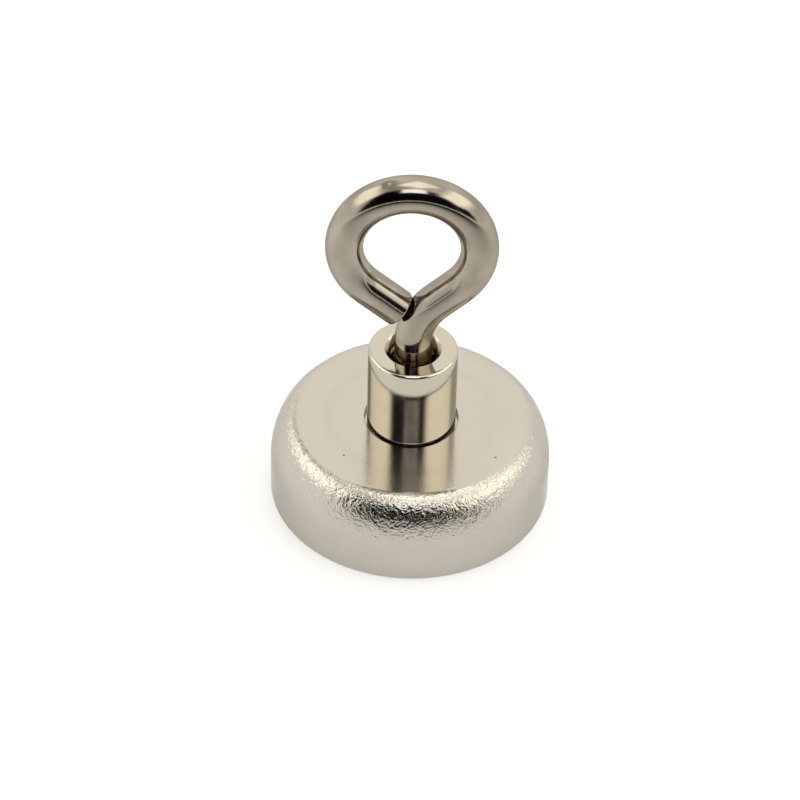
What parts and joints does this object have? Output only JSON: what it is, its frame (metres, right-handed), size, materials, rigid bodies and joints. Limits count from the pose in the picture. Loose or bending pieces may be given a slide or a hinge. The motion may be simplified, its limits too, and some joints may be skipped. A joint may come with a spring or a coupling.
{
  "type": "magnet fishing magnet",
  "caption": "Round pot magnet with a threaded bush on its back and a bent-wire eyebolt screwed into it for a rope.",
  "frame": {"origin": "centre of the magnetic contact face, at the middle of the bottom of the part's box", "axes": "+Z along the axis of the pot and bush towards the eye, X across the eye in its plane, Y through the eye"},
  "size_m": [0.025, 0.025, 0.0347],
  "materials": {
    "pot_nickel": "satin nickel plating on deep-drawn steel, with an orange-peel grain on the shoulder",
    "bush_nickel": "bright nickel plating on turned steel, with faint turning marks",
    "magnet_nickel": "nickel plating on a ground sintered magnet",
    "adhesive": "cured structural adhesive",
    "resin": "cured black epoxy resin, slightly sunk",
    "eyebolt_nickel": "nickel plating on bent steel wire, lightly satin"
  },
  "bodies": {
    "magnet_body": {"pot_cup": "pot_nickel", "threaded_bush": "bush_nickel", "disc_magnet": "magnet_nickel", "adhesive_bed": "adhesive", "resin_ring": "resin"},
    "eyebolt_travel": {"eyebolt_thread": "eyebolt_nickel"},
    "eyebolt": {"eyebolt_eye": "eyebolt_nickel"}
  },
  "joints": [
    {"name": "eyebolt_rise", "type": "slide", "parent": "magnet_body", "child": "eyebolt_travel", "axis": [0, 0, 1], "range_m": [0, 0.00788]},
    {"name": "eyebolt_screw", "type": "hinge", "parent": "eyebolt_travel", "child": "eyebolt", "pos_m": [0, 0, 0.0142], "axis": [0, 0, 1], "range_deg": [0, 4050]}
  ],
  "couplings": [
    {"joint": "eyebolt_screw", "follows": "eyebolt_rise", "rad_per_m": 8976}
  ]
}
